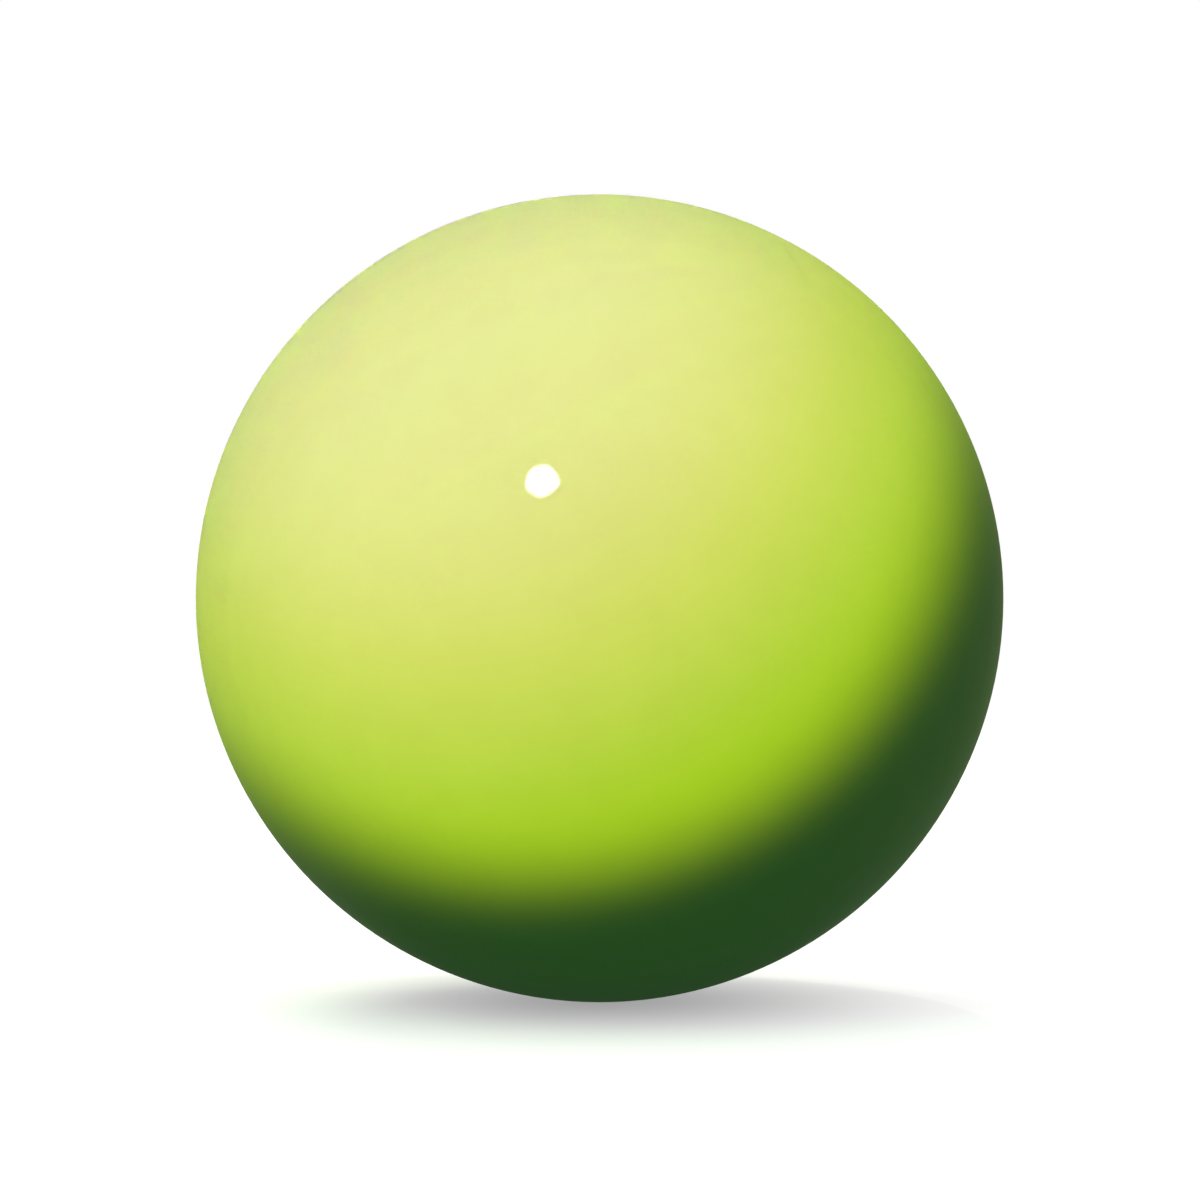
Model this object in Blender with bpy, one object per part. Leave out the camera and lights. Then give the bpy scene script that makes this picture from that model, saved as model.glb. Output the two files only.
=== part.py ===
"""Rhythmic gymnastics ball: two bonded rubber layers full of air, closed by a plugged inflation valve.

Lengths are in metres. The origin is the centre of the ball and +Z runs out through the middle of the valve,
so every piece is turned about the Z axis. The ball rests on the pole opposite the valve.
"""

import math

import bmesh
import bpy

# The ball's wall, from the outside in
BALL_DIAMETER = 0.185
SKIN_WALL = 0.0014
BLADDER_WALL = 0.0020

# Gaps between neighbours: bonded faces, and pieces that slide in or pass through one another
BOND_GAP = 0.0003
FIT_GAP = 0.0003

# The mouth of the skin and the rim of the valve in it
LIP_ROUND = 0.0006
RIM_SINK = 0.0003
RIM_WIDTH = 0.0017
RIM_BREAK = 0.0003

# The valve seat, a moulded rubber stem with a flange under the bladder
BORE_DIAMETER = 0.0050
FLANGE_WIDTH = 0.0070
FLANGE_THICKNESS = 0.0010
TUBE_LENGTH = 0.0140
TUBE_ROOT_WALL = 0.0027
TUBE_TIP_WALL = 0.0016

# The patch that is bonded over the flange from the inside
PATCH_OVERLAP = 0.0070
PATCH_THICKNESS = 0.0008

# The stopper in the valve
PLUG_HEAD_DIAMETER = 0.0080
PLUG_HEAD_THICKNESS = 0.0014
PLUG_HEAD_BREAK = 0.0003
PLUG_HEAD_LAND = 0.0012
PLUG_DISH_DEPTH = 0.0004
PLUG_RIB_HEIGHT = 0.0005
PLUG_RIB_PITCH = 0.0032
PLUG_TIP_LENGTH = 0.0022
PLUG_TIP_DIAMETER = 0.0018
PLUG_SETBACK = 0.0010

# The scoop beside the stopper's head, where a fingernail lifts it
SCOOP_RADIUS = 0.0012

# Facets: around the ball, from pole to equator, around the valve, and across its small curves
BALL_SEGMENTS = 48
RINGS_PER_HALF = 12
VALVE_SEGMENTS = 24
CAP_STEPS = 3
LIP_STEPS = 3
DISH_STEPS = 2

# Mesh settings
MERGE_DISTANCE = 0.000001
SHARP_ANGLE = math.radians(35)

# Colour (linear RGB) and roughness of each piece
LIME_RUBBER = ((0.60, 0.735, 0.175), 0.25)
BLACK_BUTYL = ((0.025, 0.025, 0.027), 0.65)
LIME_VALVE_RUBBER = ((0.50, 0.64, 0.13), 0.40)
GREY_PATCH_RUBBER = ((0.10, 0.10, 0.105), 0.70)
WHITE_STOPPER = ((0.80, 0.80, 0.77), 0.35)

# Radii of the spherical faces, from the outside in
SKIN_OUTER = BALL_DIAMETER / 2
SKIN_INNER = SKIN_OUTER - SKIN_WALL
BLADDER_OUTER = SKIN_INNER - BOND_GAP
BLADDER_INNER = BLADDER_OUTER - BLADDER_WALL
FLANGE_OUTER = BLADDER_INNER - BOND_GAP
FLANGE_INNER = FLANGE_OUTER - FLANGE_THICKNESS
PATCH_STEP_OUTER = FLANGE_INNER - BOND_GAP

# Radii about the valve's axis, from the middle out
BORE_RADIUS = BORE_DIAMETER / 2
PLUG_HEAD_RADIUS = PLUG_HEAD_DIAMETER / 2
PLUG_RIB_RADIUS = BORE_RADIUS - FIT_GAP
PLUG_SHANK_RADIUS = PLUG_RIB_RADIUS - PLUG_RIB_HEIGHT
POCKET_RADIUS = PLUG_HEAD_RADIUS + FIT_GAP
NECK_RADIUS = POCKET_RADIUS + RIM_WIDTH
MOUTH_RADIUS = NECK_RADIUS + FIT_GAP
LIP_RADIUS = min(LIP_ROUND, SKIN_WALL / 2)
LIP_EDGE_RADIUS = MOUTH_RADIUS + LIP_RADIUS
FLANGE_RADIUS = NECK_RADIUS + FLANGE_WIDTH
TUBE_ROOT_RADIUS = BORE_RADIUS + TUBE_ROOT_WALL
TUBE_TIP_RADIUS = BORE_RADIUS + TUBE_TIP_WALL
PATCH_HOLE_RADIUS = TUBE_ROOT_RADIUS + FIT_GAP
PATCH_STEP_RADIUS = FLANGE_RADIUS + FIT_GAP
PATCH_DROP_RADIUS = PATCH_STEP_RADIUS + PATCH_THICKNESS
PATCH_RADIUS = PATCH_DROP_RADIUS + PATCH_OVERLAP


def height_on(sphere_radius, radius):
    """Height of a sphere about the origin at a distance from the valve's axis."""
    return math.sqrt(sphere_radius**2 - radius**2)


# Heights along the valve's axis
LIP_EDGE_HEIGHT = height_on(SKIN_OUTER, LIP_EDGE_RADIUS)
RIM_HEIGHT = LIP_EDGE_HEIGHT - RIM_SINK
POCKET_FLOOR = RIM_HEIGHT - PLUG_HEAD_THICKNESS - FIT_GAP
TUBE_TIP_HEIGHT = height_on(FLANGE_INNER, TUBE_ROOT_RADIUS) - TUBE_LENGTH


def arc(sphere_radius, start, end, steps):
    """Points on a sphere about the origin, from one angle off the valve's axis to another."""
    angles = [start + (end - start) * i / steps for i in range(steps + 1)]
    return [(sphere_radius * math.sin(a), sphere_radius * math.cos(a)) for a in angles]


def cap(sphere_radius, from_radius, to_radius):
    """Points on a spherical face near the valve, between two distances from the axis."""
    start = math.asin(from_radius / sphere_radius)
    end = math.asin(to_radius / sphere_radius)
    return arc(sphere_radius, start, end, CAP_STEPS)


def meridian(sphere_radius, from_radius):
    """Points down a sphere, from a distance off the valve's axis, over the equator, to the far pole."""
    upper = arc(sphere_radius, math.asin(from_radius / sphere_radius), math.pi / 2, RINGS_PER_HALF)
    lower = arc(sphere_radius, math.pi / 2, math.pi, RINGS_PER_HALF)
    return [*upper, *lower[1:-1], (0.0, -sphere_radius)]


def rounded_lip():
    """The rounded edge of the skin's mouth, from its wall up to where the outer face starts."""
    turns = [math.pi / 2 * i / LIP_STEPS for i in range(LIP_STEPS)]
    return [
        (LIP_EDGE_RADIUS - LIP_RADIUS * math.cos(turn), LIP_EDGE_HEIGHT - LIP_RADIUS * (1 - math.sin(turn)))
        for turn in turns
    ]


def material(name, finish):
    """A plain Principled material from a colour and a roughness."""
    colour, roughness = finish
    made = bpy.data.materials.new(name)
    made.use_nodes = True
    shader = made.node_tree.nodes["Principled BSDF"]
    shader.inputs["Base Color"].default_value = (*colour, 1.0)
    shader.inputs["Roughness"].default_value = roughness
    shader.inputs["Metallic"].default_value = 0.0
    return made


def placed(name, shape, parent, location):
    """An object made from a finished bmesh, shaded smooth but for its edges."""
    mesh = bpy.data.meshes.new(name)
    shape.to_mesh(mesh)
    shape.free()
    mesh.shade_smooth()
    mesh.set_sharp_from_angle(angle=SHARP_ANGLE)
    piece = bpy.data.objects.new(name, mesh)
    bpy.context.scene.collection.objects.link(piece)
    piece.parent = parent
    piece.location = location
    return piece


def turned(name, profile, segments, finish, parent, ring=False, base=0.0):
    """A solid turned about Z from (radius, height) points, with its origin on the axis at the height base.

    A ring's profile closes on itself. Any other starts and ends on the axis.
    """
    shape = bmesh.new()
    points = [shape.verts.new((radius, 0.0, height - base)) for radius, height in profile]
    ends = list(zip(points, points[1:]))
    if ring:
        ends.append((points[-1], points[0]))
    edges = [shape.edges.new(pair) for pair in ends]
    bmesh.ops.spin(
        shape, geom=[*points, *edges], axis=(0, 0, 1), angle=math.tau, steps=segments, use_merge=True
    )
    bmesh.ops.remove_doubles(shape, verts=shape.verts, dist=MERGE_DISTANCE)
    bmesh.ops.recalc_face_normals(shape, faces=shape.faces)
    piece = placed(name, shape, parent, (0.0, 0.0, base))
    piece.data.materials.append(material(name + "_finish", finish))
    return piece


def outer_skin(parent):
    """The coloured, polished skin with a rounded edge round the valve's mouth."""
    inside = meridian(SKIN_INNER, MOUTH_RADIUS)
    outside = meridian(SKIN_OUTER, LIP_EDGE_RADIUS)
    profile = [*reversed(inside), *rounded_lip(), *outside]
    return turned("outer_skin", profile, BALL_SEGMENTS, LIME_RUBBER, parent)


def inner_bladder(parent):
    """The airtight layer that the skin is bonded to."""
    inside = meridian(BLADDER_INNER, MOUTH_RADIUS)
    outside = meridian(BLADDER_OUTER, MOUTH_RADIUS)
    profile = [*reversed(inside), *outside]
    return turned("inner_bladder", profile, BALL_SEGMENTS, BLACK_BUTYL, parent)


def nail_scoop(parent):
    """The cutter that opens the pocket's wall on one side, down to just above its floor."""
    shape = bmesh.new()
    bmesh.ops.create_cone(
        shape,
        cap_ends=True,
        segments=VALVE_SEGMENTS,
        radius1=SCOOP_RADIUS,
        radius2=SCOOP_RADIUS,
        depth=2 * (RIM_HEIGHT - POCKET_FLOOR),
    )
    cutter = placed("nail_scoop_cutter", shape, parent, (POCKET_RADIUS, 0.0, RIM_HEIGHT + FIT_GAP))
    cutter.hide_render = True
    cutter.display_type = "WIRE"
    return cutter


def valve_seat(parent):
    """The moulded stem: rim and pocket at the skin, neck through both layers, flange, and tapered tube."""
    profile = [
        (POCKET_RADIUS, RIM_HEIGHT),
        (NECK_RADIUS - RIM_BREAK, RIM_HEIGHT),
        (NECK_RADIUS, RIM_HEIGHT - RIM_BREAK),
        *cap(FLANGE_OUTER, NECK_RADIUS, FLANGE_RADIUS),
        *cap(FLANGE_INNER, FLANGE_RADIUS, TUBE_ROOT_RADIUS),
        (TUBE_TIP_RADIUS, TUBE_TIP_HEIGHT),
        (BORE_RADIUS, TUBE_TIP_HEIGHT),
        (BORE_RADIUS, POCKET_FLOOR),
        (POCKET_RADIUS, POCKET_FLOOR),
    ]
    seat = turned("valve_seat", profile, VALVE_SEGMENTS, LIME_VALVE_RUBBER, parent, ring=True)
    cut = seat.modifiers.new("nail_scoop", "BOOLEAN")
    cut.operation = "DIFFERENCE"
    cut.solver = "EXACT"
    cut.object = nail_scoop(parent)
    return seat


def valve_patch(parent):
    """The stepped disc that holds the flange against the bladder."""
    profile = [
        *cap(FLANGE_OUTER, PATCH_STEP_RADIUS, PATCH_RADIUS),
        *cap(FLANGE_OUTER - PATCH_THICKNESS, PATCH_RADIUS - PATCH_THICKNESS, PATCH_DROP_RADIUS),
        *cap(PATCH_STEP_OUTER - PATCH_THICKNESS, PATCH_DROP_RADIUS, PATCH_HOLE_RADIUS),
        *cap(PATCH_STEP_OUTER, PATCH_HOLE_RADIUS, PATCH_STEP_RADIUS),
    ]
    return turned("valve_patch", profile, VALVE_SEGMENTS, GREY_PATCH_RUBBER, parent, ring=True)


def head_dish(top):
    """The shallow round dish in the stopper's head, from its middle out to the flat land."""
    radius = PLUG_HEAD_RADIUS - PLUG_HEAD_BREAK - PLUG_HEAD_LAND
    shares = [i / DISH_STEPS for i in range(DISH_STEPS + 1)]
    return [(radius * share, top - PLUG_DISH_DEPTH * (1 - share**2)) for share in shares]


def shank_ribs(top, bottom):
    """Barbs down the stopper's shank, as many as its length holds, each sloping in towards the tip."""
    points = []
    for i in range(int((top - bottom) / PLUG_RIB_PITCH)):
        crest = top - PLUG_RIB_PITCH * (i + 0.5)
        points += [
            (PLUG_SHANK_RADIUS, crest),
            (PLUG_RIB_RADIUS, crest - PLUG_RIB_HEIGHT / 2),
            (PLUG_RIB_RADIUS, crest - PLUG_RIB_HEIGHT),
            (PLUG_SHANK_RADIUS, crest - PLUG_RIB_PITCH / 2),
        ]
    return points


def valve_plug(parent):
    """The stopper: a dished head in the seat's pocket and a barbed shank down its bore."""
    head_bottom = POCKET_FLOOR + FIT_GAP
    head_top = head_bottom + PLUG_HEAD_THICKNESS
    tip = TUBE_TIP_HEIGHT + PLUG_SETBACK
    shank_end = tip + PLUG_TIP_LENGTH
    profile = [
        *head_dish(head_top),
        (PLUG_HEAD_RADIUS - PLUG_HEAD_BREAK, head_top),
        (PLUG_HEAD_RADIUS, head_top - PLUG_HEAD_BREAK),
        (PLUG_HEAD_RADIUS, head_bottom),
        (PLUG_SHANK_RADIUS, head_bottom),
        *shank_ribs(POCKET_FLOOR, shank_end),
        (PLUG_SHANK_RADIUS, shank_end),
        (PLUG_TIP_DIAMETER / 2, tip),
        (0.0, tip),
    ]
    return turned("valve_plug", profile, VALVE_SEGMENTS, WHITE_STOPPER, parent, base=POCKET_FLOOR)


def main():
    """Clears the scene and builds the ball from the outside in."""
    for old in list(bpy.data.objects):
        bpy.data.objects.remove(old)
    ball_centre = bpy.data.objects.new("ball_centre", None)
    bpy.context.scene.collection.objects.link(ball_centre)
    outer_skin(ball_centre)
    inner_bladder(ball_centre)
    valve_seat(ball_centre)
    valve_patch(ball_centre)
    valve_plug(ball_centre)


main()
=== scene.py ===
"""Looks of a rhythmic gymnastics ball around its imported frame: fine meshes, finishes, studio and camera.

Lengths are in metres in the frame's axes. The origin is the ball's centre, +Z runs out through the middle of
the valve, and the photograph looks along +Y.
"""

import logging
import math
from dataclasses import dataclass
from enum import Enum

import bmesh
import bpy
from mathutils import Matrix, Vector


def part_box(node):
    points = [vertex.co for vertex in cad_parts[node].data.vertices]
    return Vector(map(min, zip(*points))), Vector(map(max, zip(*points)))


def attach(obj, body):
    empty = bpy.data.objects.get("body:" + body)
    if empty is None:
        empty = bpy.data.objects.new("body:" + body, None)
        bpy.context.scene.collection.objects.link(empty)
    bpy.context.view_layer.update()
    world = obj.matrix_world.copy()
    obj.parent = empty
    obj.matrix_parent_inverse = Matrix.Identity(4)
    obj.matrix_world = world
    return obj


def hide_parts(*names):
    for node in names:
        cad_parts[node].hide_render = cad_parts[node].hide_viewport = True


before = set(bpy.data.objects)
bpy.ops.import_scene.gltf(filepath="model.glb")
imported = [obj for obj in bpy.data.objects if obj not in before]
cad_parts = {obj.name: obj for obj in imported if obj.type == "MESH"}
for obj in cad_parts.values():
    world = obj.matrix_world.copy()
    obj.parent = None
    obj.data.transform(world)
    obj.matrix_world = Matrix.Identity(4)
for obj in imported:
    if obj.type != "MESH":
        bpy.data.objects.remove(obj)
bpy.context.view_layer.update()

Colour = tuple[float, float, float]
Point = tuple[float, float]
WHITE: Colour = (1.0, 1.0, 1.0)
MILLIMETRE = 0.001

# What the shell and the valve share: the bladder's wall, and the gap that stands for a bond
BLADDER_WALL = 2.0 * MILLIMETRE
BOND_GAP = 0.3 * MILLIMETRE

# Mesh settings: steps round a softened corner, the share of an edge that its rounding may take, and shading
CORNER_STEPS = 6
MOST_OF_EDGE = 0.48
MERGE_DISTANCE = 0.000001
SHARP_ANGLE = math.radians(32)

log = logging.getLogger("ball")


class Body(Enum):
    """The frame's moving bodies."""

    BALL = "ball"
    STOPPER = "stopper"


class LampShape(Enum):
    """Kinds of studio lamp, by the type that Blender gives them."""

    DISC = "AREA"
    SNOOT = "SPOT"


@dataclass(frozen=True)
class Corner:
    """A corner of a turned outline: its distance from the axis, its height, and its rounding's radius."""

    radius: float
    height: float
    round: float = 0.0

    def place(self) -> Vector:
        """The corner as a point in the outline's plane."""
        return Vector((self.radius, self.height))


def height_on(sphere_radius: float, radius: float) -> float:
    """Height of a sphere about the origin at a distance from the valve's axis."""
    return math.sqrt(sphere_radius**2 - radius**2)


def sphere_arc(sphere_radius: float, start: float, end: float, steps: int) -> list[Point]:
    """Lays points along a sphere about the origin.

    Args:
        sphere_radius: The sphere's radius.
        start: The first point's angle off the valve's axis.
        end: The last point's angle off the valve's axis.
        steps: How many equal steps lie between them.

    Returns:
        The points, as (distance from the axis, height).
    """
    angles = [start + (end - start) * index / steps for index in range(steps + 1)]
    return [(sphere_radius * math.sin(angle), sphere_radius * math.cos(angle)) for angle in angles]


def sphere_cap(sphere_radius: float, from_radius: float, to_radius: float, steps: int) -> list[Corner]:
    """Lays corners along a sphere, between two distances from the valve's axis.

    Args:
        sphere_radius: The sphere's radius.
        from_radius: The first corner's distance from the axis.
        to_radius: The last corner's distance from the axis.
        steps: How many equal steps lie between them.

    Returns:
        The corners, none of them rounded.
    """
    start = math.asin(from_radius / sphere_radius)
    end = math.asin(to_radius / sphere_radius)
    return [Corner(*point) for point in sphere_arc(sphere_radius, start, end, steps)]


def rounded_corner(before: Corner, corner: Corner, after: Corner) -> list[Point]:
    """Replaces a corner with an arc that meets both its edges.

    Args:
        before: The corner that the outline comes from.
        corner: The corner to round.
        after: The corner that the outline goes to.

    Returns:
        Points along the arc.
    """
    back = before.place() - corner.place()
    ahead = after.place() - corner.place()
    half = back.angle(ahead) / 2
    reach = min(corner.round / math.tan(half), MOST_OF_EDGE * min(back.length, ahead.length))
    arc_radius = reach * math.tan(half)
    back.normalize()
    ahead.normalize()
    centre = corner.place() + (back + ahead).normalized() * (arc_radius / math.sin(half))
    first = (corner.place() + back * reach - centre).normalized()
    last = (corner.place() + ahead * reach - centre).normalized()
    shares = [index / CORNER_STEPS for index in range(CORNER_STEPS + 1)]
    return [tuple(centre + first.slerp(last, share) * arc_radius) for share in shares]


def softened(corners: list[Corner], closed: bool) -> list[Point]:
    """Turns an outline's corners into points, with an arc at each rounded corner.

    Args:
        corners: The corners in order.
        closed: Whether the last corner joins the first.

    Returns:
        Points along the outline, as (distance from the axis, height).
    """
    outline: list[Point] = []
    for index, corner in enumerate(corners):
        is_end = not closed and index in (0, len(corners) - 1)
        if is_end or corner.round == 0.0:
            outline.append((corner.radius, corner.height))
        else:
            after = corners[(index + 1) % len(corners)]
            outline += rounded_corner(corners[index - 1], corner, after)
    return outline


def smooth_shaded(mesh: bpy.types.Mesh) -> None:
    """Shades a mesh smooth but for its sharp edges."""
    mesh.shade_smooth()
    mesh.set_sharp_from_angle(angle=SHARP_ANGLE)


def turned(name: str, outline: list[Point], segments: int, closed: bool) -> bpy.types.Object:
    """Turns an outline about the valve's axis into a solid.

    Args:
        name: The new object's name.
        outline: Points as (distance from the axis, height). An open outline starts and ends on the axis.
        segments: How many facets go round.
        closed: Whether the outline is a ring's, which joins its last point to its first.

    Returns:
        The object, linked to the scene.
    """
    shape = bmesh.new()
    points = [shape.verts.new((radius, 0.0, height)) for radius, height in outline]
    pairs = list(zip(points, points[1:]))
    if closed:
        pairs.append((points[-1], points[0]))
    edges = [shape.edges.new(pair) for pair in pairs]
    bmesh.ops.spin(
        shape, geom=[*points, *edges], axis=(0, 0, 1), angle=math.tau, steps=segments, use_merge=True
    )
    bmesh.ops.remove_doubles(shape, verts=shape.verts, dist=MERGE_DISTANCE)
    bmesh.ops.recalc_face_normals(shape, faces=shape.faces)
    mesh = bpy.data.meshes.new(name)
    shape.to_mesh(mesh)
    shape.free()
    smooth_shaded(mesh)
    made = bpy.data.objects.new(name, mesh)
    bpy.context.scene.collection.objects.link(made)
    return made


def carved(piece: bpy.types.Object, cutter: bpy.types.Object) -> None:
    """Cuts one solid out of another for good, and removes the cutter.

    Args:
        piece: The solid that is cut.
        cutter: The solid that is taken away.
    """
    cut = piece.modifiers.new("cut", "BOOLEAN")
    cut.operation = "DIFFERENCE"
    cut.solver = "EXACT"
    cut.object = cutter
    graph = bpy.context.evaluated_depsgraph_get()
    shaped = bpy.data.meshes.new_from_object(piece.evaluated_get(graph))
    piece.modifiers.clear()
    piece.data = shaped
    smooth_shaded(shaped)
    bpy.data.objects.remove(cutter)


class Graph:
    """A node tree with short ways to add nodes and join them."""

    # The colour sockets of a Mix node, which share their names with its sockets for numbers
    MIX_FIRST = 6
    MIX_SECOND = 7
    MIX_RESULT = 2

    def __init__(self, tree: bpy.types.NodeTree) -> None:
        """Takes over an existing tree."""
        self.tree = tree

    def add(self, kind: str, **settings: object) -> bpy.types.Node:
        """Adds a node.

        Args:
            kind: The node's type name in Blender.
            settings: The node's own properties.

        Returns:
            The new node.
        """
        node = self.tree.nodes.new(kind)
        for name, value in settings.items():
            setattr(node, name, value)
        return node

    def join(self, source: bpy.types.NodeSocket, target: bpy.types.NodeSocket) -> None:
        """Joins an output to an input."""
        self.tree.links.new(source, target)

    def maths(self, operation: str, *values: object) -> bpy.types.NodeSocket:
        """Adds a Math node.

        Args:
            operation: The operation's name in Blender.
            values: A socket to join or a number to set, for each input in turn.

        Returns:
            The node's output.
        """
        node = self.add("ShaderNodeMath", operation=operation)
        for value, target in zip(values, node.inputs):
            if isinstance(value, bpy.types.NodeSocket):
                self.join(value, target)
            else:
                target.default_value = value
        return node.outputs["Value"]

    def noise(self, scale: object, detail: float, vector: bpy.types.NodeSocket) -> bpy.types.NodeSocket:
        """Adds a noise pattern.

        Args:
            scale: A socket or a number for how many waves fit in a metre.
            detail: How many finer octaves are added.
            vector: The coordinates that the pattern follows.

        Returns:
            The pattern's value, from 0 to 1.
        """
        node = self.add("ShaderNodeTexNoise")
        node.inputs["Detail"].default_value = detail
        self.join(vector, node.inputs["Vector"])
        if isinstance(scale, bpy.types.NodeSocket):
            self.join(scale, node.inputs["Scale"])
        else:
            node.inputs["Scale"].default_value = scale
        return node.outputs["Fac"]

    def ramp(self, value: bpy.types.NodeSocket, low: object, high: object) -> bpy.types.NodeSocket:
        """Adds a smooth step from 0 to 1.

        Args:
            value: The socket that is read.
            low: A socket or a number below which the step gives 0.
            high: A socket or a number above which the step gives 1.

        Returns:
            The step's value.
        """
        node = self.add("ShaderNodeMapRange", interpolation_type="SMOOTHSTEP")
        self.join(value, node.inputs["Value"])
        for limit, name in ((low, "From Min"), (high, "From Max")):
            if isinstance(limit, bpy.types.NodeSocket):
                self.join(limit, node.inputs[name])
            else:
                node.inputs[name].default_value = limit
        return node.outputs["Result"]

    def blend(self, share: bpy.types.NodeSocket, first: object, second: object) -> bpy.types.NodeSocket:
        """Adds a mix of two colours.

        Args:
            share: The socket that says how much of the second colour shows.
            first: A socket, or a colour to set.
            second: A socket, or a colour to set.

        Returns:
            The mixed colour.
        """
        node = self.add("ShaderNodeMix", data_type="RGBA")
        self.join(share, node.inputs["Factor"])
        for colour, index in ((first, self.MIX_FIRST), (second, self.MIX_SECOND)):
            if isinstance(colour, bpy.types.NodeSocket):
                self.join(colour, node.inputs[index])
            else:
                node.inputs[index].default_value = (*colour, 1.0)
        return node.outputs[self.MIX_RESULT]

    def seen_plainly(self) -> bpy.types.NodeSocket:
        """Adds a test of the ray that meets the surface.

        Returns:
            1 for what is seen by the camera, in a reflection or through glass, and 0 for other light.
        """
        paths = self.add("ShaderNodeLightPath").outputs
        seen = self.maths("MAXIMUM", paths["Is Camera Ray"], paths["Is Glossy Ray"])
        return self.maths("MAXIMUM", seen, paths["Is Transmission Ray"])


class Effects:
    """Surface effects that several finishes share, each a node group that is built once."""

    # The middle of a noise, how far round it the values spread, and how much finer a pattern's next layer is
    NOISE_MIDDLE = 0.5
    NOISE_SPREAD = 0.22
    FINER = 3.7
    # Octaves in each pattern, the share of grain in the orange peel, and where talc starts and lies thick
    CLOUD_DETAIL = 3.0
    PATCH_DETAIL = 4.0
    TALC_DETAIL = 5.0
    GRAIN_DETAIL = 2.0
    POWDER_DETAIL = 1.0
    GRAIN_SHARE = 0.3
    TALC_START = 0.4
    TALC_THICK = 0.75

    def __init__(self) -> None:
        """Builds every group."""
        self.mottle = self._mottle()
        self.drift = self._drift()
        self.peel = self._peel()
        self.talc = self._talc()

    @staticmethod
    def _group(
        name: str, inputs: dict[str, str], outputs: dict[str, str]
    ) -> tuple[bpy.types.NodeTree, Graph]:
        """Starts a shader node group.

        Args:
            name: The group's name.
            inputs: Each input's name and socket type.
            outputs: Each output's name and socket type.

        Returns:
            The group and its graph.
        """
        tree = bpy.data.node_groups.new(name, "ShaderNodeTree")
        for socket, kind in inputs.items():
            tree.interface.new_socket(socket, in_out="INPUT", socket_type=kind)
        for socket, kind in outputs.items():
            tree.interface.new_socket(socket, in_out="OUTPUT", socket_type=kind)
        return tree, Graph(tree)

    def _mottle(self) -> bpy.types.NodeTree:
        """Builds the soft, cloudy unevenness of colour in moulded rubber and plastic.

        Returns:
            The group, with a colour as its output.
        """
        tree, graph = self._group(
            "moulded_mottle",
            {
                "Colour": "NodeSocketColor",
                "Deep Colour": "NodeSocketColor",
                "Scale": "NodeSocketFloat",
                "Amount": "NodeSocketFloat",
            },
            {"Colour": "NodeSocketColor"},
        )
        given = graph.add("NodeGroupInput").outputs
        where = graph.add("ShaderNodeTexCoord").outputs["Object"]
        broad = graph.noise(given["Scale"], self.CLOUD_DETAIL, where)
        fine_scale = graph.maths("MULTIPLY", given["Scale"], self.FINER)
        fine = graph.noise(fine_scale, self.GRAIN_DETAIL, where)
        both = graph.maths("MULTIPLY", graph.maths("ADD", broad, fine), 0.5)
        cloud = graph.ramp(both, self.NOISE_MIDDLE - self.NOISE_SPREAD, self.NOISE_MIDDLE + self.NOISE_SPREAD)
        share = graph.maths("MULTIPLY", cloud, given["Amount"])
        shown = graph.add("NodeGroupOutput").inputs
        graph.join(graph.blend(share, given["Colour"], given["Deep Colour"]), shown["Colour"])
        return tree

    def _drift(self) -> bpy.types.NodeTree:
        """Builds the slow drift between glossier and duller patches that handling leaves.

        Returns:
            The group, with a roughness as its output.
        """
        tree, graph = self._group(
            "handling_drift",
            {"Roughness": "NodeSocketFloat", "Drift": "NodeSocketFloat", "Scale": "NodeSocketFloat"},
            {"Roughness": "NodeSocketFloat"},
        )
        given = graph.add("NodeGroupInput").outputs
        where = graph.add("ShaderNodeTexCoord").outputs["Object"]
        patches = graph.noise(given["Scale"], self.PATCH_DETAIL, where)
        speck_scale = graph.maths("MULTIPLY", given["Scale"], self.FINER**2)
        specks = graph.noise(speck_scale, self.GRAIN_DETAIL, where)
        uneven = graph.maths("SUBTRACT", graph.maths("ADD", patches, specks), 2 * self.NOISE_MIDDLE)
        shown = graph.add("NodeGroupOutput").inputs
        graph.join(
            graph.maths("ADD", given["Roughness"], graph.maths("MULTIPLY", uneven, given["Drift"])),
            shown["Roughness"],
        )
        return tree

    def _peel(self) -> bpy.types.NodeTree:
        """Builds the faint orange peel of a moulded surface.

        Returns:
            The group, with a height from 0 to 1 as its output.
        """
        tree, graph = self._group("orange_peel", {"Scale": "NodeSocketFloat"}, {"Height": "NodeSocketFloat"})
        given = graph.add("NodeGroupInput").outputs
        where = graph.add("ShaderNodeTexCoord").outputs["Object"]
        cells = graph.add("ShaderNodeTexVoronoi", feature="SMOOTH_F1")
        graph.join(where, cells.inputs["Vector"])
        graph.join(given["Scale"], cells.inputs["Scale"])
        grain_scale = graph.maths("MULTIPLY", given["Scale"], self.FINER)
        grain = graph.noise(grain_scale, self.GRAIN_DETAIL, where)
        shown = graph.add("NodeGroupOutput").inputs
        graph.join(
            graph.maths("ADD", cells.outputs["Distance"], graph.maths("MULTIPLY", grain, self.GRAIN_SHARE)),
            shown["Height"],
        )
        return tree

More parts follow.
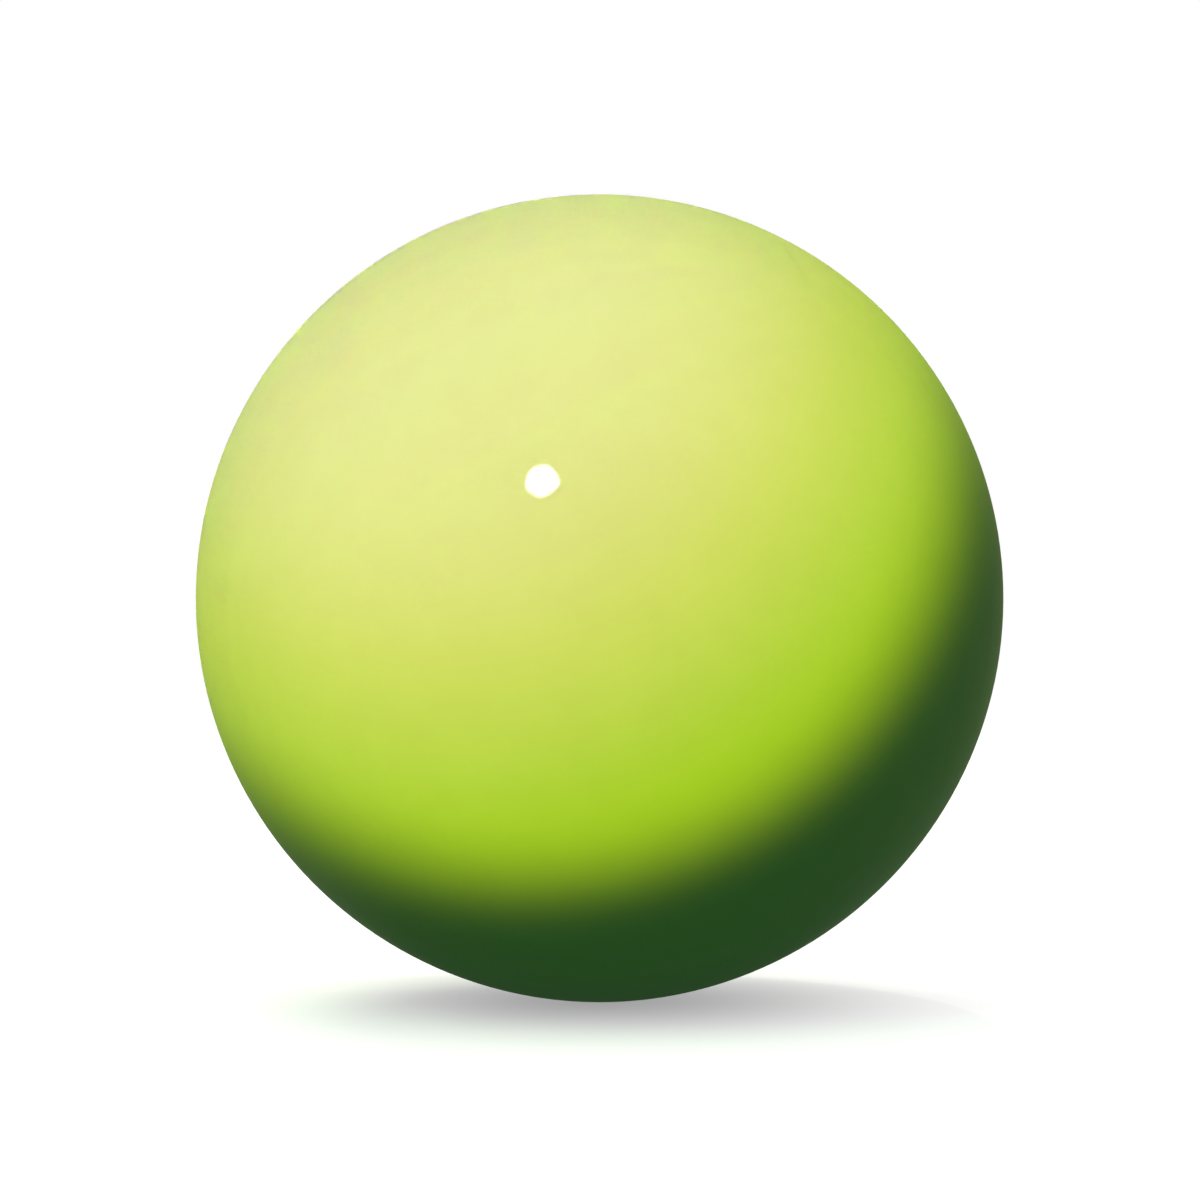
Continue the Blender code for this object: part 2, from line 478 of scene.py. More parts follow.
    def _talc(self) -> bpy.types.NodeTree:
        """Builds the powder that keeps the inner rubber from sticking to itself.

        Returns:
            The group, with a colour as its output.
        """
        tree, graph = self._group(
            "talc_dust",
            {
                "Colour": "NodeSocketColor",
                "Talc Colour": "NodeSocketColor",
                "Scale": "NodeSocketFloat",
                "Cover": "NodeSocketFloat",
            },
            {"Colour": "NodeSocketColor"},
        )
        given = graph.add("NodeGroupInput").outputs
        where = graph.add("ShaderNodeTexCoord").outputs["Object"]
        lying = graph.noise(given["Scale"], self.TALC_DETAIL, where)
        drifts = graph.ramp(lying, self.TALC_START, self.TALC_THICK)
        grain_scale = graph.maths("MULTIPLY", given["Scale"], self.FINER**3)
        grains = graph.noise(grain_scale, self.POWDER_DETAIL, where)
        powder = graph.maths("MULTIPLY", graph.maths("MULTIPLY", drifts, grains), given["Cover"])
        shown = graph.add("NodeGroupOutput").inputs
        graph.join(graph.blend(powder, given["Colour"], given["Talc Colour"]), shown["Colour"])
        return tree


@dataclass(frozen=True)
class Finish:
    """A moulded finish: its colours (linear RGB), its gloss, and the size of what breaks them up.

    Scales are waves in a metre. The coat is the clear skin of gloss over the colour.
    """

    name: str
    colour: Colour
    deep_colour: Colour
    mottle_scale: float
    mottle_amount: float
    roughness: float
    roughness_drift: float
    drift_scale: float
    peel_scale: float
    peel_depth: float
    specular: float = 0.1
    diffuse_roughness: float = 0.0
    coat: float = 0.0
    coat_roughness: float = 0.03

    def colour_socket(self, graph: Graph, effects: Effects) -> bpy.types.NodeSocket:
        """Adds the nodes of the finish's colour.

        Args:
            graph: The material's graph.
            effects: The shared groups.

        Returns:
            The colour over the surface.
        """
        mottle = graph.add("ShaderNodeGroup", node_tree=effects.mottle)
        mottle.inputs["Colour"].default_value = (*self.colour, 1.0)
        mottle.inputs["Deep Colour"].default_value = (*self.deep_colour, 1.0)
        mottle.inputs["Scale"].default_value = self.mottle_scale
        mottle.inputs["Amount"].default_value = self.mottle_amount
        return mottle.outputs["Colour"]

    def material(self, effects: Effects) -> bpy.types.Material:
        """Makes the finish's material.

        Args:
            effects: The shared groups.

        Returns:
            A new material.
        """
        made = bpy.data.materials.new(self.name)
        made.use_nodes = True
        graph = Graph(made.node_tree)
        shader = made.node_tree.nodes["Principled BSDF"]
        graph.join(self.colour_socket(graph, effects), shader.inputs["Base Color"])
        drift = graph.add("ShaderNodeGroup", node_tree=effects.drift)
        drift.inputs["Roughness"].default_value = self.roughness
        drift.inputs["Drift"].default_value = self.roughness_drift
        drift.inputs["Scale"].default_value = self.drift_scale
        graph.join(drift.outputs["Roughness"], shader.inputs["Roughness"])
        peel = graph.add("ShaderNodeGroup", node_tree=effects.peel)
        peel.inputs["Scale"].default_value = self.peel_scale
        bump = graph.add("ShaderNodeBump")
        bump.inputs["Distance"].default_value = self.peel_depth
        graph.join(peel.outputs["Height"], bump.inputs["Height"])
        graph.join(bump.outputs["Normal"], shader.inputs["Normal"])
        shader.inputs["Specular IOR Level"].default_value = self.specular
        shader.inputs["Diffuse Roughness"].default_value = self.diffuse_roughness
        shader.inputs["Coat Weight"].default_value = self.coat
        shader.inputs["Coat Roughness"].default_value = self.coat_roughness
        return made


@dataclass(frozen=True)
class TalcedFinish(Finish):
    """A moulded finish with talc lying in drifts on it."""

    talc_colour: Colour = (0.62, 0.61, 0.58)
    talc_scale: float = 60.0
    talc_cover: float = 0.5

    def colour_socket(self, graph: Graph, effects: Effects) -> bpy.types.NodeSocket:
        """Adds the nodes of the finish's colour, with the talc over it.

        Args:
            graph: The material's graph.
            effects: The shared groups.

        Returns:
            The colour over the surface.
        """
        talc = graph.add("ShaderNodeGroup", node_tree=effects.talc)
        graph.join(super().colour_socket(graph, effects), talc.inputs["Colour"])
        talc.inputs["Talc Colour"].default_value = (*self.talc_colour, 1.0)
        talc.inputs["Scale"].default_value = self.talc_scale
        talc.inputs["Cover"].default_value = self.talc_cover
        return talc.outputs["Colour"]


POLISHED_LIME = Finish(
    name="polished_lime_rubber",
    colour=(0.607, 0.746, 0.179),
    deep_colour=(0.580, 0.712, 0.165),
    mottle_scale=34.0,
    mottle_amount=0.6,
    roughness=0.65,
    roughness_drift=0.05,
    drift_scale=26.0,
    peel_scale=900.0,
    peel_depth=0.0000008,
    specular=0.0,
    diffuse_roughness=1.0,
    coat=0.04,
    coat_roughness=0.01,
)
MOULDED_LIME = Finish(
    name="moulded_lime_rubber",
    colour=(0.52, 0.66, 0.135),
    deep_colour=(0.46, 0.60, 0.115),
    mottle_scale=260.0,
    mottle_amount=0.8,
    roughness=0.46,
    roughness_drift=0.10,
    drift_scale=300.0,
    peel_scale=4200.0,
    peel_depth=0.00003,
    diffuse_roughness=1.0,
)
STOPPER_WHITE = Finish(
    name="off_white_plastic",
    colour=(0.80, 0.80, 0.76),
    deep_colour=(0.72, 0.71, 0.65),
    mottle_scale=320.0,
    mottle_amount=0.7,
    roughness=0.36,
    roughness_drift=0.12,
    drift_scale=420.0,
    peel_scale=5200.0,
    peel_depth=0.00002,
    diffuse_roughness=1.0,
)
BLACK_BUTYL = TalcedFinish(
    name="talced_black_butyl",
    colour=(0.025, 0.025, 0.027),
    deep_colour=(0.014, 0.014, 0.015),
    mottle_scale=40.0,
    mottle_amount=0.9,
    roughness=0.66,
    roughness_drift=0.12,
    drift_scale=50.0,
    peel_scale=1100.0,
    peel_depth=0.00008,
)
GREY_PATCH = TalcedFinish(
    name="talced_grey_patch_rubber",
    colour=(0.10, 0.10, 0.105),
    deep_colour=(0.07, 0.07, 0.074),
    mottle_scale=180.0,
    mottle_amount=0.9,
    roughness=0.70,
    roughness_drift=0.10,
    drift_scale=160.0,
    peel_scale=2600.0,
    peel_depth=0.00006,
    talc_scale=170.0,
)


@dataclass(frozen=True)
class Piece:
    """A finished piece, with the body it rides on, the frame's node it stands for, and its finish's slot."""

    made: bpy.types.Object
    body: Body
    node: str
    slot: str

    def settle(self) -> None:
        """Gives the piece its place in the frame and reports it."""
        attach(self.made, self.body.value)
        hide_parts(self.node)
        log.info(
            "%s rides on %s, stands for %s, %d faces",
            self.made.name,
            self.body.value,
            self.node,
            len(self.made.data.polygons),
        )


@dataclass(frozen=True)
class BallShell:
    """The coloured skin, and the airtight bladder bonded under it."""

    radius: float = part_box("outer_skin")[1].x
    bladder_radius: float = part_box("inner_bladder")[1].x
    skin_wall: float = 1.4 * MILLIMETRE
    bladder_wall: float = BLADDER_WALL
    mouth_radius: float = 6.3 * MILLIMETRE
    lip_round: float = 0.6 * MILLIMETRE
    collar_angle: float = math.radians(12)
    skin_segments: int = 192
    bladder_segments: int = 96
    collar_steps: int = 12
    skin_rings: int = 88
    hidden_rings: int = 40

    def meridian(self, sphere_radius: float, from_radius: float, rings: int) -> list[Point]:
        """Runs down a sphere from the valve's mouth to the far pole, with closer rings beside the mouth.

        Args:
            sphere_radius: The sphere's radius.
            from_radius: The first point's distance from the valve's axis.
            rings: How many rings lie below the collar.

        Returns:
            The points, the last of them on the axis.
        """
        mouth = math.asin(from_radius / sphere_radius)
        collar = sphere_arc(sphere_radius, mouth, self.collar_angle, self.collar_steps)
        rest = sphere_arc(sphere_radius, self.collar_angle, math.pi, rings)
        return [*collar, *rest[1:-1], (0.0, -sphere_radius)]

    def lip(self) -> list[Point]:
        """Rounds the skin's edge at the mouth.

        Returns:
            Points from the mouth's wall up to the outer face, which they don't include.
        """
        edge_radius = self.mouth_radius + self.lip_round
        edge_height = height_on(self.radius, edge_radius)
        turns = [math.pi / 2 * index / self.collar_steps for index in range(self.collar_steps)]
        return [
            (
                edge_radius - self.lip_round * math.cos(turn),
                edge_height - self.lip_round * (1 - math.sin(turn)),
            )
            for turn in turns
        ]

    def skin(self) -> bpy.types.Object:
        """Makes the polished skin, a closed shell with a rounded mouth."""
        inside = self.meridian(self.radius - self.skin_wall, self.mouth_radius, self.hidden_rings)
        outside = self.meridian(self.radius, self.mouth_radius + self.lip_round, self.skin_rings)
        outline = [*reversed(inside), *self.lip(), *outside]
        return turned("polished_skin", outline, self.skin_segments, closed=False)

    def bladder(self) -> bpy.types.Object:
        """Makes the bladder, a closed shell with a hole for the valve's neck."""
        inside = self.meridian(self.bladder_radius - self.bladder_wall, self.mouth_radius, self.hidden_rings)
        outside = self.meridian(self.bladder_radius, self.mouth_radius, self.hidden_rings)
        return turned("air_bladder", [*reversed(inside), *outside], self.bladder_segments, closed=False)

    def build(self, effects: Effects) -> list[Piece]:
        """Makes and dresses both layers.

        Args:
            effects: The shared groups.

        Returns:
            The pieces, from the outside in.
        """
        skin = self.skin()
        skin.data.materials.append(POLISHED_LIME.material(effects))
        bladder = self.bladder()
        bladder.data.materials.append(BLACK_BUTYL.material(effects))
        return [
            Piece(skin, Body.BALL, "outer_skin", "lime_skin"),
            Piece(bladder, Body.BALL, "inner_bladder", "black_bladder"),
        ]


@dataclass(frozen=True)
class InflationValve:
    """The moulded valve seat in the skin's mouth, and the patch that holds its flange to the bladder."""

    rim_height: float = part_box("valve_seat")[1].z
    tube_tip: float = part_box("valve_seat")[0].z
    flange_radius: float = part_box("valve_seat")[1].x
    patch_radius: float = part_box("valve_patch")[1].x
    flange_outer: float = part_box("inner_bladder")[1].x - BLADDER_WALL - BOND_GAP
    flange_thickness: float = 1.0 * MILLIMETRE
    gap: float = BOND_GAP
    bore_radius: float = 2.5 * MILLIMETRE
    pocket_radius: float = 4.3 * MILLIMETRE
    neck_radius: float = 6.0 * MILLIMETRE
    pocket_depth: float = 1.7 * MILLIMETRE
    tube_root_wall: float = 2.7 * MILLIMETRE
    tube_tip_wall: float = 1.6 * MILLIMETRE
    patch_thickness: float = 0.8 * MILLIMETRE
    scoop_radius: float = 1.2 * MILLIMETRE
    scoop_flare: float = 0.2 * MILLIMETRE
    groove_width: float = 0.36 * MILLIMETRE
    groove_depth: float = 0.14 * MILLIMETRE
    edge_round: float = 0.2 * MILLIMETRE
    rim_round: float = 0.3 * MILLIMETRE
    segments: int = 96
    cap_steps: int = 8

    def rim(self) -> list[Corner]:
        """The flat rim from the pocket out to the neck, with a fine groove round its middle."""
        middle = (self.pocket_radius + self.neck_radius) / 2
        half = self.groove_width / 2
        floor = self.rim_height - self.groove_depth
        return [
            Corner(self.pocket_radius, self.rim_height, self.edge_round),
            Corner(middle - half, self.rim_height, self.groove_depth / 2),
            Corner(middle, floor, self.groove_depth / 2),
            Corner(middle + half, self.rim_height, self.groove_depth / 2),
            Corner(self.neck_radius, self.rim_height, self.rim_round),
        ]

    def seat(self) -> bpy.types.Object:
        """Makes the seat: rim and pocket at the skin, neck through both layers, flange, and tapered tube."""
        flange_inner = self.flange_outer - self.flange_thickness
        tube_root = self.bore_radius + self.tube_root_wall
        pocket_floor = self.rim_height - self.pocket_depth
        corners = [
            *self.rim(),
            *sphere_cap(self.flange_outer, self.neck_radius, self.flange_radius, self.cap_steps),
            *sphere_cap(flange_inner, self.flange_radius, tube_root, self.cap_steps),
            Corner(self.bore_radius + self.tube_tip_wall, self.tube_tip, self.edge_round),
            Corner(self.bore_radius, self.tube_tip, self.edge_round),
            Corner(self.bore_radius, pocket_floor, self.edge_round),
            Corner(self.pocket_radius, pocket_floor, self.edge_round),
        ]
        seat = turned("valve_rim_and_stem", softened(corners, closed=True), self.segments, closed=True)
        carved(seat, self.scoop_cutter())
        return seat

    def scoop_cutter(self) -> bpy.types.Object:
        """Makes the cutter of the nail scoop, round at its foot and flared where it leaves the rim."""
        foot = self.rim_height - self.pocket_depth + self.gap
        top = self.rim_height + self.gap
        corners = [
            Corner(0.0, foot),
            Corner(self.scoop_radius, foot, self.edge_round),
            Corner(self.scoop_radius, self.rim_height - self.scoop_flare, self.scoop_flare),
            Corner(self.scoop_radius + self.scoop_flare, self.rim_height, self.scoop_flare),
            Corner(self.scoop_radius + self.scoop_flare, top),
            Corner(0.0, top),
        ]
        cutter = turned("scoop_cutter", softened(corners, closed=False), self.segments // 2, closed=False)
        cutter.location.x = self.pocket_radius
        return cutter

    def patch(self) -> bpy.types.Object:
        """Makes the stepped patch under the flange."""
        step_outer = self.flange_outer - self.flange_thickness - self.gap
        step_radius = self.flange_radius + self.gap
        drop_radius = step_radius + self.patch_thickness
        hole_radius = self.bore_radius + self.tube_root_wall + self.gap
        under = self.flange_outer - self.patch_thickness
        corners = [
            *sphere_cap(self.flange_outer, step_radius, self.patch_radius, self.cap_steps),
            *sphere_cap(under, self.patch_radius - self.patch_thickness, drop_radius, self.cap_steps),
            *sphere_cap(step_outer - self.patch_thickness, drop_radius, hole_radius, self.cap_steps),
            *sphere_cap(step_outer, hole_radius, step_radius, self.cap_steps),
        ]
        return turned("flange_patch", softened(corners, closed=True), self.segments, closed=True)

    def build(self, effects: Effects) -> list[Piece]:
        """Makes and dresses the seat and its patch.

        Args:
            effects: The shared groups.

        Returns:
            The pieces, from the outside in.
        """
        seat = self.seat()
        seat.data.materials.append(MOULDED_LIME.material(effects))
        patch = self.patch()
        patch.data.materials.append(GREY_PATCH.material(effects))
        return [
            Piece(seat, Body.BALL, "valve_seat", "valve_rubber"),
            Piece(patch, Body.BALL, "valve_patch", "patch_rubber"),
        ]


@dataclass(frozen=True)
class Stopper:
    """The stopper that closes the valve: a dished head and a barbed shank."""

    top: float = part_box("valve_plug")[1].z
    tip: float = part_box("valve_plug")[0].z
    head_radius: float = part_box("valve_plug")[1].x
    head_thickness: float = 1.4 * MILLIMETRE
    land: float = 1.5 * MILLIMETRE
    dish_depth: float = 0.4 * MILLIMETRE
    pip_radius: float = 0.45 * MILLIMETRE
    pip_height: float = 0.12 * MILLIMETRE
    shank_radius: float = 1.7 * MILLIMETRE
    rib_height: float = 0.5 * MILLIMETRE
    rib_pitch: float = 3.2 * MILLIMETRE
    rib_round: float = 0.08 * MILLIMETRE
    first_rib: float = 0.3 * MILLIMETRE
    tip_length: float = 2.2 * MILLIMETRE
    tip_radius: float = 0.9 * MILLIMETRE
    edge_round: float = 0.3 * MILLIMETRE
    segments: int = 96
    dish_steps: int = 10

    def dish(self) -> list[Corner]:
        """The shallow dish in the head, from the moulding's pip in its middle out to the flat land."""
        dish_start = self.pip_radius + self.pip_height
        dish_radius = self.head_radius - self.land
        pip_top = self.top - self.dish_depth + self.pip_height
        corners = [Corner(0.0, pip_top), Corner(self.pip_radius, pip_top, self.pip_height / 2)]
        for index in range(self.dish_steps + 1):
            share = index / self.dish_steps
            radius = dish_start + (dish_radius - dish_start) * share
            drop = self.dish_depth * (1 - (radius / dish_radius) ** 2)
            corners.append(Corner(radius, self.top - drop))
        return corners

    def barbs(self, start: float, end: float) -> list[Corner]:
        """Lays barbs down the shank, each sloping in towards the tip.

        Args:
            start: The height that the first pitch starts from.
            end: The height that no barb reaches.

        Returns:
            The barbs' corners, from the top down.
        """
        crest_radius = self.shank_radius + self.rib_height
        corners: list[Corner] = []
        for index in range(int((start - end) / self.rib_pitch)):
            crest = start - self.rib_pitch * (index + 0.5)
            corners += [
                Corner(self.shank_radius, crest, self.rib_round),
                Corner(crest_radius, crest - self.rib_height / 2, self.rib_round),
                Corner(crest_radius, crest - self.rib_height, self.rib_round),
                Corner(self.shank_radius, crest - self.rib_pitch / 2, self.rib_round),
            ]
        return corners

    def build(self, effects: Effects) -> list[Piece]:
        """Makes and dresses the stopper.

        Args:
            effects: The shared groups.

        Returns:
            The one piece.
        """
        head_bottom = self.top - self.head_thickness
        shank_end = self.tip + self.tip_length
        corners = [
            *self.dish(),
            Corner(self.head_radius, self.top, self.edge_round),
            Corner(self.head_radius, head_bottom, self.rib_round),
            Corner(self.shank_radius, head_bottom, self.rib_round),
            *self.barbs(head_bottom - self.first_rib, shank_end),
            Corner(self.shank_radius, shank_end, self.edge_round),
            Corner(self.tip_radius, self.tip, self.edge_round),
            Corner(0.0, self.tip),
        ]
        made = turned("stopper_plug", softened(corners, closed=False), self.segments, closed=False)
        made.data.materials.append(STOPPER_WHITE.material(effects))
        return [Piece(made, Body.STOPPER, "valve_plug", "stopper")]


@dataclass(frozen=True)
class PhotoCamera:
    """The camera, placed so that the ball's outline has the photograph's place and width.

    Pixels are the photograph's.
    """

    frame_px: float = 1200.0
    outline_px: Point = (599.6, 598.4)
    outline_radius_px: float = 403.9
    lens_mm: float = 100.0
    sensor_mm: float = 36.0

    def focal_px(self) -> float:
        """The lens's focal length in pixels."""
        return self.frame_px * self.lens_mm / self.sensor_mm

    def place(self, ball_radius: float) -> Vector:
        """Works out where the camera stands.

        Args:
            ball_radius: The ball's radius.

        Returns:
            The camera's place, from which it looks along +Y.
        """
        outline_angle = math.atan(self.outline_radius_px / self.focal_px())
        distance = ball_radius / math.sin(outline_angle)
        metres_per_px = distance / self.focal_px()
        across = (self.frame_px / 2 - self.outline_px[0]) * metres_per_px
        up = (self.outline_px[1] - self.frame_px / 2) * metres_per_px
        return Vector((across, -distance, up))

    def ray(self, pixel: Point) -> Vector:
        """The direction in which the camera sees a pixel."""
        across = pixel[0] - self.frame_px / 2
        up = self.frame_px / 2 - pixel[1]
        return Vector((across, self.focal_px(), up)).normalized()

    def build(self, ball_radius: float) -> None:
        """Makes the camera and gives it to the scene.

        Args:
            ball_radius: The ball's radius.
        """
        lens = bpy.data.cameras.new("photo_camera")
        lens.lens = self.lens_mm
        lens.sensor_width = self.sensor_mm
        camera = bpy.data.objects.new("photo_camera", lens)
        camera.location = self.place(ball_radius)
        camera.rotation_euler = (math.pi / 2, 0.0, 0.0)
        bpy.context.scene.collection.objects.link(camera)
        bpy.context.scene.camera = camera
        log.info("camera stands %.3f m in front of the ball", -camera.location.y)


@dataclass(frozen=True)
class Lamp:
    """A studio lamp, aimed at the ball's centre unless it says otherwise.

    Its level is the share of a white surface's own brightness that it gives where it is aimed.
    """

    name: str
    place: Vector
    level: float
    width: float
    shape: LampShape = LampShape.DISC
    aim: Vector = Vector()
    colour: Colour = WHITE
    spread: float = 0.0
    softness: float = 0.0
    on_surfaces: bool = True
    in_reflections: bool = False

    def build(self) -> None:
        """Makes the lamp."""
        light = bpy.data.lights.new(self.name, self.shape.value)
        reach = self.aim - self.place
        # At level 1 the power makes a white surface, turned to the lamp, as bright as it is written
        if self.shape is LampShape.DISC:
            light.shape = "DISK"
            light.size = self.width
            light.energy = self.level * math.pi**2 * reach.length_squared
        else:
            light.spot_size = self.spread
            light.spot_blend = self.softness
            light.shadow_soft_size = self.width / 2
            light.energy = self.level * 4 * math.pi**2 * reach.length_squared
        light.color = self.colour
        lamp = bpy.data.objects.new(self.name, light)
        lamp.location = self.place
        lamp.rotation_euler = reach.to_track_quat("-Z", "Y").to_euler()
        lamp.visible_camera = False
        lamp.visible_diffuse = self.on_surfaces
        lamp.visible_glossy = self.in_reflections
        bpy.context.scene.collection.objects.link(lamp)


@dataclass(frozen=True)
class FrontLight:
    """A share of the light from beside the camera, kept by a snoot to a round of the photograph's pixels."""

    name: str
    aim_px: Point
    radius_px: float
    softness: float
    level: float
    colour: Colour

    def lamp(self, camera: PhotoCamera, ball_radius: float, width: float) -> Lamp:
        """Makes the share's lamp.

        Args:
            camera: The camera that the lamp stands beside.
            ball_radius: The ball's radius.
            width: The lamp's width.

        Returns:
            The lamp.
        """
        eye = camera.place(ball_radius)
        return Lamp(
            self.name,
            eye,
            self.level,
            width,
            shape=LampShape.SNOOT,
            aim=eye + camera.ray(self.aim_px) * eye.length,
            colour=self.colour,
            spread=2 * math.atan(self.radius_px / camera.focal_px()),
            softness=self.softness,
        )


@dataclass(frozen=True)
class SideLight:
    """A lamp for a side that the photograph doesn't show, kept by a snoot off the side that it does.

    Its way is the direction that it stands in, and it lights a round as wide as a share of the ball.
    """

    name: str
    way: Vector
    level: float
    distance: float = 1.6
    round_share: float = 0.85
    softness: float = 0.4
    width: float = 0.1

    def lamp(self, camera: PhotoCamera, ball_radius: float) -> Lamp:
        """Makes the lamp.

        Args:
            camera: The camera that sees nothing of this light.
            ball_radius: The ball's radius.

        Returns:
            The lamp.
        """
        way = self.way.normalized()
        eye = camera.place(ball_radius)
        # Where the camera's view of the ball starts: its angle from straight behind, and as the lamp sees it
        hidden = math.pi / 2 + math.asin(ball_radius / eye.length)
        edge_share = math.sin(hidden - way.angle(-eye))
        to_camera = (eye - way * eye.dot(way)).normalized()
        return Lamp(
            self.name,
            way * self.distance,
            self.level,
            self.width,
            shape=LampShape.SNOOT,
            aim=to_camera * (edge_share - self.round_share) * ball_radius,
            spread=2 * math.atan(self.round_share * ball_radius / self.distance),
            softness=self.softness,
        )


# The three shares add up to a pale light at the upper left, which turns yellow and then green on the way down
FRONT_LIGHTS = (
    FrontLight(
        name="lime_front",
        aim_px=(525.2, 445.9),
        radius_px=484.0,
        softness=0.4,
        level=0.60,
        colour=(0.805, 1.0, 0.016),
    ),
    FrontLight(
        name="soft_front",
        aim_px=(466.8, 326.2),
        radius_px=545.0,
        softness=1.0,
        level=0.80,
        colour=(0.74, 0.165, 1.0),
    ),
    FrontLight(
        name="cool_front",
        aim_px=(431.4, 253.5),
        radius_px=444.0,
        softness=1.0,
        level=0.70,
        colour=(0.03, 0.034, 1.0),
    ),
)
SIDE_LIGHTS = (
    SideLight("right_side", way=Vector((0.90, 0.42, 0.12)), level=0.65),
    SideLight("left_side", way=Vector((-0.90, 0.42, 0.12)), level=0.60),
    SideLight("top_side", way=Vector((0.10, 0.50, 0.87)), level=0.56),
)
# A green lift for the shaded side, a green key for the upper left edge, and a pale lamp above and behind
BROAD_LIGHTS = (
    Lamp("shade_lift", Vector((0.0, -1.6, 0.0)), level=0.078, width=0.3, colour=(0.30, 1.0, 0.86)),
    Lamp("upper_left_key", Vector((-0.61, -0.80, 1.245)), level=0.17, width=0.8, colour=(0.20, 1.0, 0.08)),
    Lamp("above_and_behind", Vector((-0.48, 0.96, 1.18)), level=0.51, width=0.8, colour=(0.88, 1.0, 0.60)),
)


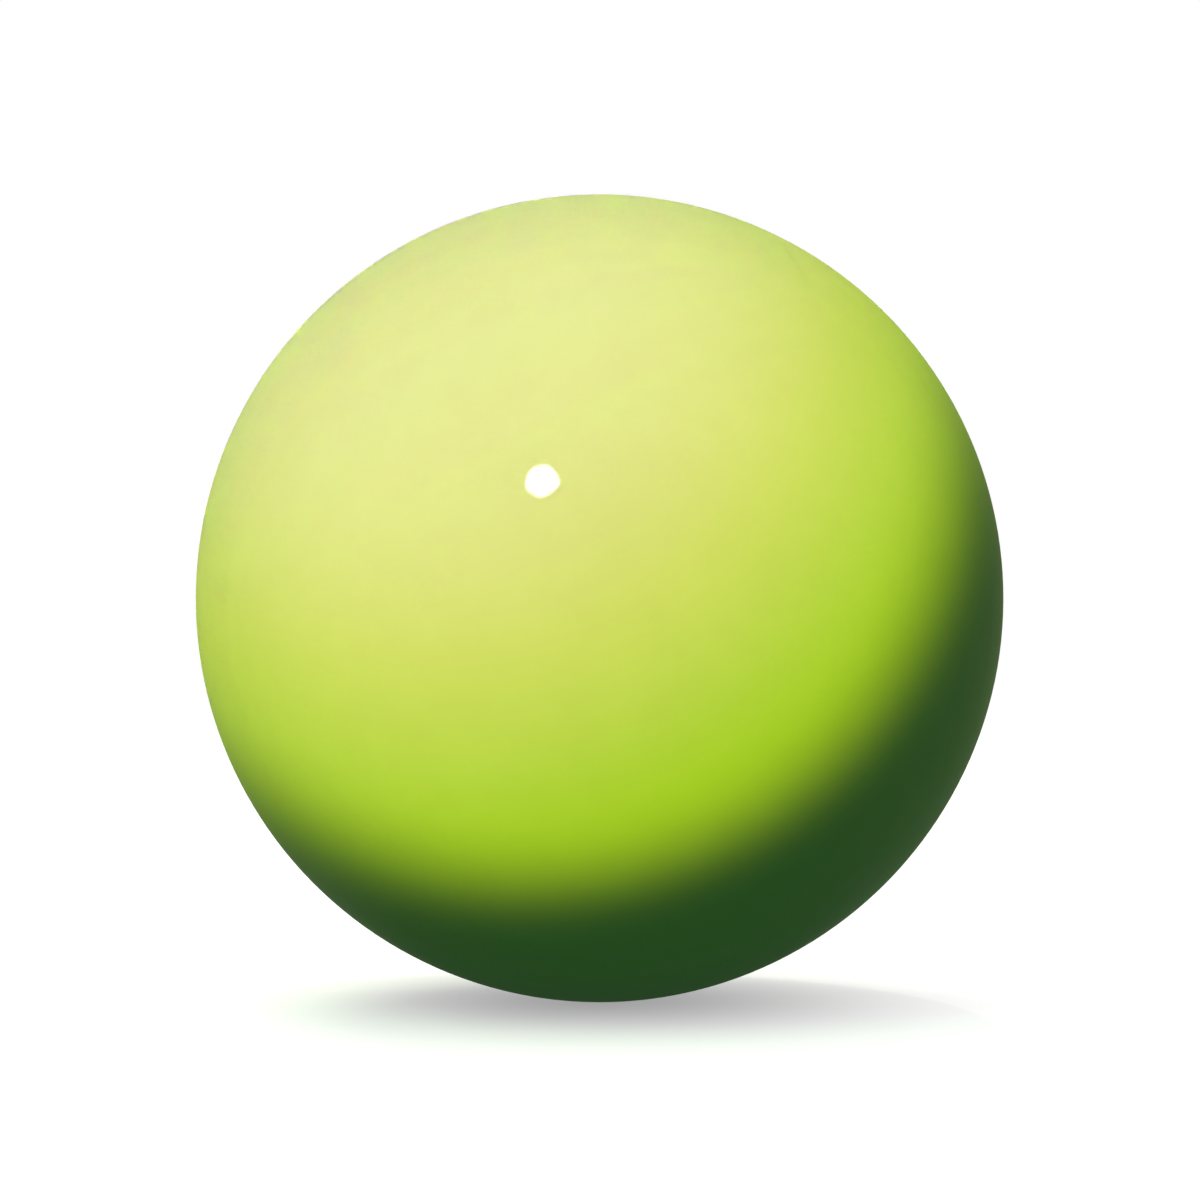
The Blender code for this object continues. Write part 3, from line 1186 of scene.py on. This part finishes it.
@dataclass(frozen=True)
class Studio:
    """A white studio: floor, surroundings, the lamps, and the catch light that the ball mirrors."""

    camera: PhotoCamera
    ball_radius: float
    catch_light_px: Point = (542.3, 480.8)
    catch_light_width_px: float = 30.0
    catch_light_distance: float = 1.6
    catch_light_level: float = 3.7
    snoot_width: float = 0.012
    front_lights: tuple[FrontLight, ...] = FRONT_LIGHTS
    side_lights: tuple[SideLight, ...] = SIDE_LIGHTS
    broad_lights: tuple[Lamp, ...] = BROAD_LIGHTS
    fill_colour: Colour = (0.012, 0.012, 0.012)
    floor_radius: float = 3.0
    floor_colour: Colour = (0.50, 0.50, 0.50)
    floor_bounce: Colour = (0.06, 0.06, 0.06)
    # The floor's glow at the ball's foot, and how far out this painted contact shadow reaches
    floor_painted_shadow_glow: float = 0.35
    floor_painted_shadow_radius: float = 0.11
    floor_segments: int = 96

    def mirrored(self, pixel: Point) -> tuple[Vector, Vector]:
        """Follows the camera's view of a pixel to the ball and on along its reflection.

        Args:
            pixel: The pixel in the photograph.

        Returns:
            The point on the ball, and the direction that it reflects.
        """
        eye = self.camera.place(self.ball_radius)
        ray = self.camera.ray(pixel)
        nearest = -eye.dot(ray)
        off_centre = (eye + ray * nearest).length
        point = eye + ray * (nearest - math.sqrt(self.ball_radius**2 - off_centre**2))
        return point, ray.reflect(point.normalized())

    def catch_light(self) -> Lamp:
        """The small round lamp that the ball mirrors as a white dot."""
        point, way = self.mirrored(self.catch_light_px)
        tilt = math.acos(-self.camera.ray(self.catch_light_px).dot(point.normalized()))
        # How far the ball turns across the dot, which is half of how far its reflection turns
        turn = self.catch_light_width_px / self.camera.outline_radius_px / math.cos(tilt)
        return Lamp(
            "catch_light",
            point + way * self.catch_light_distance,
            self.catch_light_level,
            2 * self.catch_light_distance * math.tan(turn),
            aim=point,
            on_surfaces=False,
            in_reflections=True,
        )

    def floor(self) -> None:
        """Makes the pale floor: white to the camera and to reflections, with the ball's cast shadow and a
        painted contact shadow round its foot.
        """
        shape = bmesh.new()
        bmesh.ops.create_circle(shape, cap_ends=True, segments=self.floor_segments, radius=self.floor_radius)
        mesh = bpy.data.meshes.new("floor")
        shape.to_mesh(mesh)
        shape.free()
        floor = bpy.data.objects.new("floor", mesh)
        floor.location.z = -self.ball_radius
        bpy.context.scene.collection.objects.link(floor)
        mesh.materials.append(self.floor_material())

    def floor_material(self) -> bpy.types.Material:
        """Makes the floor's material.

        Returns:
            A matt surface that glows white, but for a painted contact shadow: a dimmer glow in the round
            where the ball stands.
        """
        made = bpy.data.materials.new("pale_floor")
        made.use_nodes = True
        made.cycles.emission_sampling = "NONE"
        made.node_tree.nodes.clear()
        graph = Graph(made.node_tree)
        seen = graph.seen_plainly()
        where = graph.add("ShaderNodeTexCoord").outputs["Object"]
        away = graph.add("ShaderNodeVectorMath", operation="LENGTH")
        graph.join(where, away.inputs[0])
        # Painted contact shadow: the glow is dimmed at the ball's foot and comes back to full white a little
        # way out. The ball's lower side mirrors this darker round too.
        clear = graph.ramp(away.outputs["Value"], 0.0, self.floor_painted_shadow_radius)
        lift = graph.maths("MULTIPLY", clear, 1 - self.floor_painted_shadow_glow)
        glow_with_painted_shadow = graph.maths("ADD", lift, self.floor_painted_shadow_glow)
        light = graph.add("ShaderNodeEmission")
        graph.join(graph.maths("MULTIPLY", seen, glow_with_painted_shadow), light.inputs["Strength"])
        matt = graph.add("ShaderNodeBsdfDiffuse")
        graph.join(graph.blend(seen, self.floor_bounce, self.floor_colour), matt.inputs["Color"])
        both = graph.add("ShaderNodeAddShader")
        graph.join(matt.outputs[0], both.inputs[0])
        graph.join(light.outputs[0], both.inputs[1])
        graph.join(both.outputs[0], graph.add("ShaderNodeOutputMaterial").inputs["Surface"])
        return made

    def surroundings(self) -> None:
        """Makes the world: white behind the ball and in reflections, and a weak fill otherwise."""
        world = bpy.data.worlds.new("studio")
        bpy.context.scene.world = world
        world.use_nodes = True
        world.cycles.sampling_method = "NONE"
        world.node_tree.nodes.clear()
        graph = Graph(world.node_tree)
        shown = graph.blend(graph.seen_plainly(), self.fill_colour, WHITE)
        backdrop = graph.add("ShaderNodeBackground")
        graph.join(shown, backdrop.inputs["Color"])
        graph.join(backdrop.outputs[0], graph.add("ShaderNodeOutputWorld").inputs["Surface"])

    def lamps(self) -> list[Lamp]:
        """All the lamps, the main ones first."""
        return [
            *(light.lamp(self.camera, self.ball_radius, self.snoot_width) for light in self.front_lights),
            *(light.lamp(self.camera, self.ball_radius) for light in self.side_lights),
            *self.broad_lights,
            self.catch_light(),
        ]

    def build(self) -> None:
        """Makes the whole studio."""
        self.floor()
        self.surroundings()
        for lamp in self.lamps():
            lamp.build()
            log.info("%s lamp at level %.2f", lamp.name, lamp.level)


def main() -> None:
    """Builds the ball from the outside in, then the camera and the studio."""
    logging.basicConfig(level=logging.INFO, format="%(name)s: %(message)s")
    bpy.context.scene.view_settings.view_transform = "Standard"
    effects = Effects()
    shell = BallShell()
    for assembly in (shell, InflationValve(), Stopper()):
        for piece in assembly.build(effects):
            piece.settle()
    camera = PhotoCamera()
    camera.build(shell.radius)
    Studio(camera, shell.radius).build()


if __name__ == "__main__":
    main()
